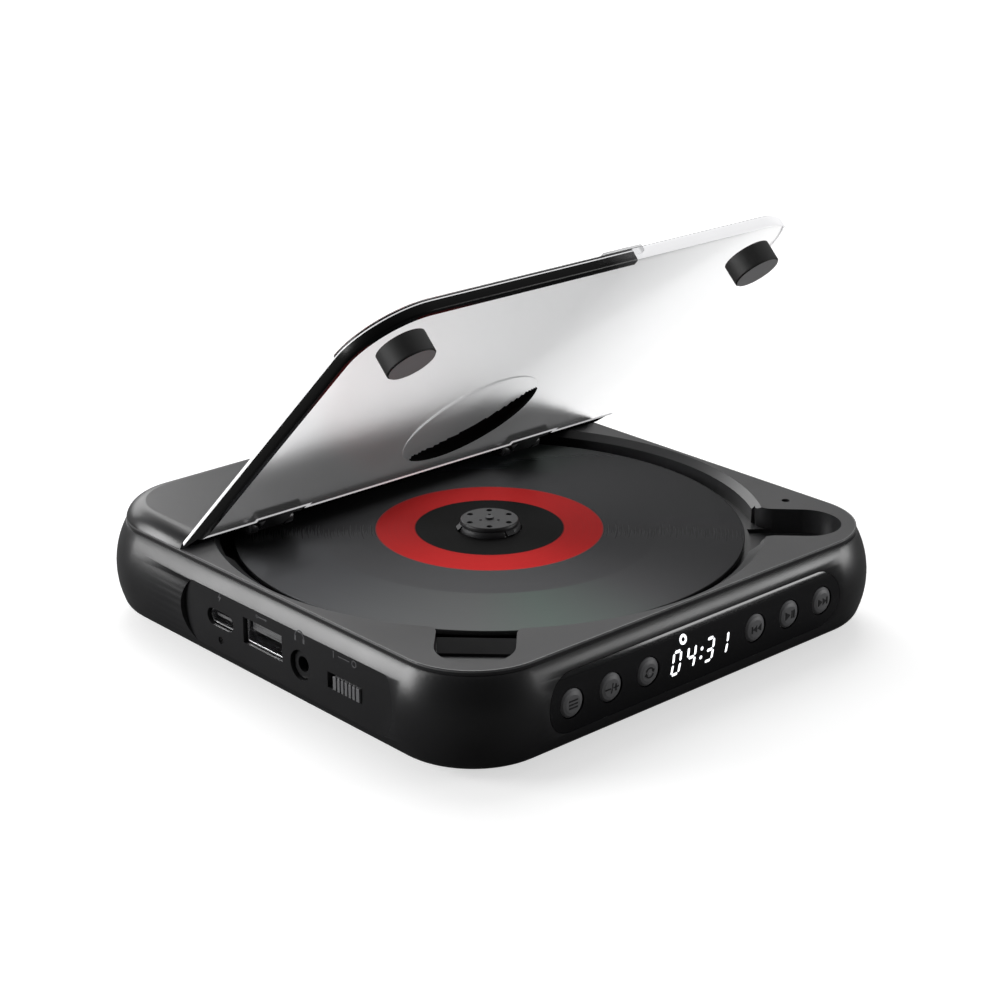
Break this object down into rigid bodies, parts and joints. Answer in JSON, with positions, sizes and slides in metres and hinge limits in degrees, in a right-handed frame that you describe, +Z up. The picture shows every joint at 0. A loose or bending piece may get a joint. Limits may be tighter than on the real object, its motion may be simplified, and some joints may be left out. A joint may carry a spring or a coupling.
{
  "type": "disc player",
  "caption": "Square disc player with a clear hinged lid, a lit time display, round buttons and side sockets.",
  "frame": {"origin": "middle of the underside, on the plane that the feet rest on", "axes": "+Z up, -Y towards the display and buttons, -X towards the sockets"},
  "size_m": [0.138, 0.1384, 0.096],
  "materials": {
    "black_shell": "satin black moulding",
    "base_plastic": "fine matte black moulding",
    "deck_plastic": "fine matte dark grey moulding",
    "rubber": "matte rubber",
    "screw_steel": "zinc plated",
    "bright_steel": "ground and polished",
    "socket_metal": "nickel plated",
    "sheet_steel": "galvanised sheet",
    "window_gloss": "polished black",
    "display_grey": "matte",
    "digit_white": "lit white",
    "board_green": "solder resist",
    "dark_plastic": "matte black",
    "pale_plastic": "natural white",
    "pickup_metal": "die cast",
    "battery_wrap": "film wrap",
    "lid_clear": "clear, lightly frosted",
    "lens_glass": "coated lens",
    "light_red": "tinted light guide",
    "disc_silver": "printed disc",
    "button_grey": "satin dark grey"
  },
  "bodies": {
    "case": {"main_housing": "black_shell", "base_cover": "base_plastic", "rubber_feet": "rubber", "base_screws": "screw_steel", "top_deck": "deck_plastic", "deck_screws": "screw_steel", "rear_cover": "deck_plastic", "hinge_pins": "bright_steel", "display_window": "window_gloss", "display_module": "display_grey", "digit_segments": "digit_white", "front_board": "board_green", "button_switches": "sheet_steel", "main_board": "board_green", "board_screws": "screw_steel", "board_chips": "dark_plastic", "battery": "battery_wrap", "battery_pad": "rubber", "usb_c_socket": "socket_metal", "usb_a_socket": "socket_metal", "headphone_socket": "dark_plastic", "power_switch_case": "sheet_steel", "charge_light": "light_red", "lid_sensor": "dark_plastic", "mechanism_chassis": "sheet_steel", "chassis_dampers": "rubber", "damper_screws": "screw_steel", "spindle_motor": "sheet_steel", "guide_rods": "bright_steel", "rod_clips": "pale_plastic", "sled_motor": "sheet_steel", "screw_bearing": "pale_plastic", "limit_switch": "dark_plastic"},
    "lid": {"clear_lid": "lid_clear", "hinge_arms": "dark_plastic", "lid_bumper_left": "rubber", "lid_bumper_right": "rubber"},
    "spindle": {"spindle_shaft": "bright_steel", "turntable": "dark_plastic", "turntable_pad": "rubber", "hub_cap": "dark_plastic", "hub_claws": "dark_plastic", "disc": "disc_silver"},
    "pickup": {"pickup_body": "pickup_metal", "screw_follower": "pale_plastic", "pickup_lid": "dark_plastic"},
    "lens": {"lens_holder": "dark_plastic", "objective_lens": "lens_glass"},
    "screw": {"lead_screw": "bright_steel"},
    "power_switch": {"power_switch_knob": "button_grey"},
    "menu_button_cap": {"menu_button": "button_grey"},
    "volume_button_cap": {"volume_button": "button_grey"},
    "repeat_button_cap": {"repeat_button": "button_grey"},
    "previous_button_cap": {"previous_button": "button_grey"},
    "play_button_cap": {"play_button": "button_grey"},
    "next_button_cap": {"next_button": "button_grey"}
  },
  "joints": [
    {"name": "lid_hinge", "type": "hinge", "parent": "case", "child": "lid", "pos_m": [0, 0.0291, 0.0262], "axis": [-1, 0, 0], "range_deg": [-45.25, 15]},
    {"name": "disc_spin", "type": "hinge", "parent": "case", "child": "spindle", "pos_m": [0, 0, 0.0206], "axis": [0, 0, 1], "continuous": true},
    {"name": "pickup_slide", "type": "slide", "parent": "case", "child": "pickup", "axis": [0, 1, 0], "range_m": [0, 0.034]},
    {"name": "screw_turn", "type": "hinge", "parent": "case", "child": "screw", "pos_m": [0.027, 0.03, 0.009], "axis": [0, 1, 0], "range_deg": [0, 4082]},
    {"name": "lens_focus", "type": "slide", "parent": "pickup", "child": "lens", "axis": [0, 0, 1], "range_m": [-0.0004, 0.0004], "stiffness_N_per_m": 60},
    {"name": "menu_button_press", "type": "slide", "parent": "case", "child": "menu_button_cap", "axis": [0, 1, 0], "range_m": [0, 0.0006], "stiffness_N_per_m": 400, "springref_m": -0.0003},
    {"name": "volume_button_press", "type": "slide", "parent": "case", "child": "volume_button_cap", "axis": [0, 1, 0], "range_m": [0, 0.0006], "stiffness_N_per_m": 400, "springref_m": -0.0003},
    {"name": "repeat_button_press", "type": "slide", "parent": "case", "child": "repeat_button_cap", "axis": [0, 1, 0], "range_m": [0, 0.0006], "stiffness_N_per_m": 400, "springref_m": -0.0003},
    {"name": "previous_button_press", "type": "slide", "parent": "case", "child": "previous_button_cap", "axis": [0, 1, 0], "range_m": [0, 0.0006], "stiffness_N_per_m": 400, "springref_m": -0.0003},
    {"name": "play_button_press", "type": "slide", "parent": "case", "child": "play_button_cap", "axis": [0, 1, 0], "range_m": [0, 0.0006], "stiffness_N_per_m": 400, "springref_m": -0.0003},
    {"name": "next_button_press", "type": "slide", "parent": "case", "child": "next_button_cap", "axis": [0, 1, 0], "range_m": [0, 0.0006], "stiffness_N_per_m": 400, "springref_m": -0.0003},
    {"name": "power_switch_slide", "type": "slide", "parent": "case", "child": "power_switch", "axis": [0, 1, 0], "range_m": [0, 0.0022]}
  ],
  "couplings": [
    {"joint": "screw_turn", "follows": "pickup_slide", "rad_per_m": 2094.4}
  ]
}
